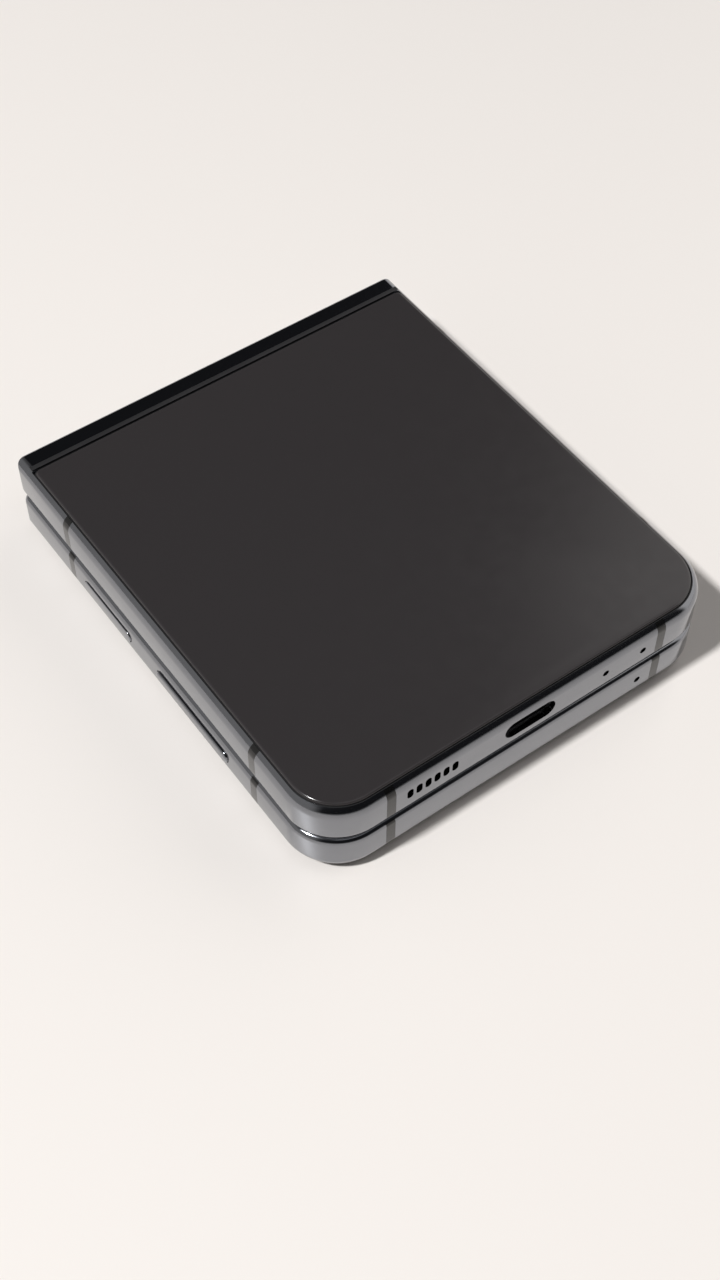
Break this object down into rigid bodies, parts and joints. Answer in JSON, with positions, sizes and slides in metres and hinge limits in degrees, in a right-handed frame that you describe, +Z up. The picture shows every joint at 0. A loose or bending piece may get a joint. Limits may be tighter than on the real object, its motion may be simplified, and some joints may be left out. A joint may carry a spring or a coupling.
{
  "type": "foldable smartphone",
  "caption": "Clamshell foldable phone, shown shut: two rounded graphite metal halves with dark glass backs on a dual-axis geared hinge, side keys, card tray and charging port.",
  "frame": {"origin": "on the table under the middle of the closed phone's box", "axes": "+X across the phone, the keys on the -X side; +Y towards the hinge; +Z up, out of the base half's glass"},
  "size_m": [0.0724, 0.0851, 0.0158],
  "materials": {
    "frame_metal": "satin anodised graphite aluminium",
    "back_glass": "opaque dark graphite glass, glossy",
    "lens_glass": "near-black glossy lens cover",
    "strip_plastic": "moulded antenna strip, dark grey",
    "bezel_plastic": "soft black rim",
    "screen": "black folding display, off",
    "black_plastic": "moulded black",
    "steel": "bare steel",
    "board": "circuit board",
    "cell": "foil-wrapped cell",
    "copper": "bare copper",
    "flash": "pale yellow flash diffuser",
    "card": "plain plastic card"
  },
  "bodies": {
    "cover_half": {"cover_frame": "frame_metal", "cover_antenna_strips": "strip_plastic", "cover_glass": "back_glass", "cover_display_panel": "screen", "lens_rings": "frame_metal", "lens_glasses": "lens_glass", "main_camera": "black_plastic", "wide_camera": "black_plastic", "flash_unit": "flash", "main_board": "board", "board_shields": "steel", "cover_battery": "cell", "earpiece": "black_plastic", "selfie_camera": "black_plastic", "cover_microphone": "steel", "cover_bracket": "steel", "cover_bracket_screws": "steel", "cover_magnets": "steel", "cover_bezel": "bezel_plastic", "sim_reader": "steel", "key_switches": "copper", "cover_screen": "screen", "fold_screen_cover": "screen", "hinge_plate_cover": "steel", "plate_screws_cover": "steel"},
    "spine": {"hinge_spine": "frame_metal", "hinge_brackets": "steel", "hinge_pins": "steel", "disc_springs": "steel", "bracket_screws": "steel"},
    "idler_lower": {"idler_gear_lower": "steel"},
    "idler_upper": {"idler_gear_upper": "steel"},
    "base_half": {"base_frame": "frame_metal", "base_antenna_strips": "strip_plastic", "base_glass": "back_glass", "base_battery": "cell", "charging_coil": "copper", "sub_board": "board", "usb_shell": "steel", "usb_tongue": "black_plastic", "loudspeaker": "black_plastic", "vibration_motor": "steel", "base_microphones": "steel", "base_bracket": "black_plastic", "base_bracket_screws": "steel", "base_magnets": "steel", "base_bezel": "bezel_plastic", "base_screen": "screen", "fold_screen_base": "screen", "hinge_plate_base": "steel", "plate_screws_base": "steel"},
    "power_key": {"power_key": "frame_metal"},
    "volume_key": {"volume_key": "frame_metal"},
    "sim_tray": {"sim_tray": "frame_metal", "sim_card": "card"}
  },
  "joints": [
    {"name": "spine_turn", "type": "hinge", "parent": "cover_half", "child": "spine", "pos_m": [0, 0.0382, 0.00645], "axis": [-1, 0, 0], "range_deg": [0, 90], "deforming": ["fold_screen_cover"]},
    {"name": "base_unfold", "type": "hinge", "parent": "spine", "child": "base_half", "pos_m": [0, 0.0382, 0.01005], "axis": [-1, 0, 0], "range_deg": [0, 90], "deforming": ["fold_screen_base"]},
    {"name": "idler_lower_turn", "type": "hinge", "parent": "spine", "child": "idler_lower", "pos_m": [0, 0.04052, 0.00705], "axis": [-1, 0, 0], "range_deg": [0, 90]},
    {"name": "idler_upper_turn", "type": "hinge", "parent": "spine", "child": "idler_upper", "pos_m": [0, 0.04052, 0.00945], "axis": [-1, 0, 0], "range_deg": [-90, 0]},
    {"name": "power_key_press", "type": "slide", "parent": "cover_half", "child": "power_key", "axis": [1, 0, 0], "range_m": [0, 0.0002], "stiffness_N_per_m": 400},
    {"name": "volume_key_rock", "type": "hinge", "parent": "cover_half", "child": "volume_key", "pos_m": [-0.0348, -0.00975, 0.0046], "axis": [0, 0, 1], "range_deg": [-1.2, 1.2], "stiffness_Nm_per_rad": 0.02},
    {"name": "sim_tray_pull", "type": "slide", "parent": "cover_half", "child": "sim_tray", "axis": [1, 0, 0], "range_m": [0, 0.022]}
  ],
  "couplings": [
    {"joint": "spine_turn", "follows": "base_unfold", "ratio": 1},
    {"joint": "idler_lower_turn", "follows": "base_unfold", "ratio": 1},
    {"joint": "idler_upper_turn", "follows": "base_unfold", "ratio": -1}
  ]
}
